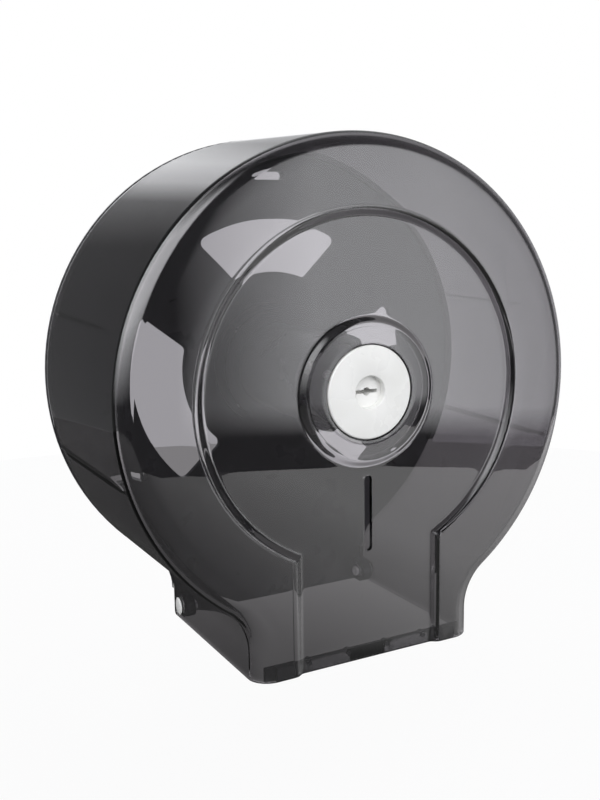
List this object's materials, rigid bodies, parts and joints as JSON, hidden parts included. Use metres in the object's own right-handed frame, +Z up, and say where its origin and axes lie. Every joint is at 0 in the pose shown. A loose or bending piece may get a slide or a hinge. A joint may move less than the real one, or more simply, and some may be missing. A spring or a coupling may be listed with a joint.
{
  "type": "jumbo toilet roll dispenser",
  "caption": "Wall-mounted dispenser for jumbo toilet rolls: dark back plate with a turning spindle, smoked tip-forward cover with a keyed centre lock, and a serrated paper mouth.",
  "frame": {"origin": "on the wall plane, on the roll's axis, at the middle of the back plate's resting face", "axes": "+Z up the wall, +Y into the wall, so the front faces -Y, +X to the right of someone facing the front"},
  "size_m": [0.27, 0.1284, 0.2851],
  "materials": {
    "smoked_plastic": "clear smoked grey, polished",
    "dark_plastic": "moulded, satin",
    "white_plastic": "moulded, semi-gloss white",
    "black_plastic": "moulded, satin",
    "black_rubber": "matt",
    "zinc_steel": "zinc plated"
  },
  "bodies": {
    "base": {"back_plate": "dark_plastic", "spindle_post": "dark_plastic", "post_screws": "zinc_steel", "wear_washer": "white_plastic", "catch_plate": "dark_plastic", "catch_screws": "zinc_steel", "hinge_pin_left": "white_plastic", "hinge_pin_right": "white_plastic", "pin_clips": "zinc_steel"},
    "sleeve": {"core_sleeve": "dark_plastic"},
    "cover": {"cover_shell": "smoked_plastic", "hinge_bush_left": "white_plastic", "hinge_bush_right": "white_plastic", "tear_bar": "black_plastic", "tear_bar_rivets": "black_plastic", "rosette_gasket": "black_rubber", "lock_rosette": "white_plastic", "nut_washer": "zinc_steel", "lock_nut": "white_plastic"},
    "lock": {"lock_plug": "white_plastic", "wave_washer": "zinc_steel", "plug_clip": "zinc_steel", "lock_cam": "zinc_steel", "cam_screw": "zinc_steel"}
  },
  "joints": [
    {"name": "cover_hinge", "type": "hinge", "parent": "base", "child": "cover", "pos_m": [0, -0.013, -0.1415], "axis": [1, 0, 0], "range_deg": [0, 90]},
    {"name": "lock_turn", "type": "hinge", "parent": "cover", "child": "lock", "pos_m": [0, -0.11, 0], "axis": [0, -1, 0], "range_deg": [0, 90]},
    {"name": "core_spin", "type": "hinge", "parent": "base", "child": "sleeve", "pos_m": [0, -0.05, 0], "axis": [0, -1, 0], "continuous": true}
  ]
}
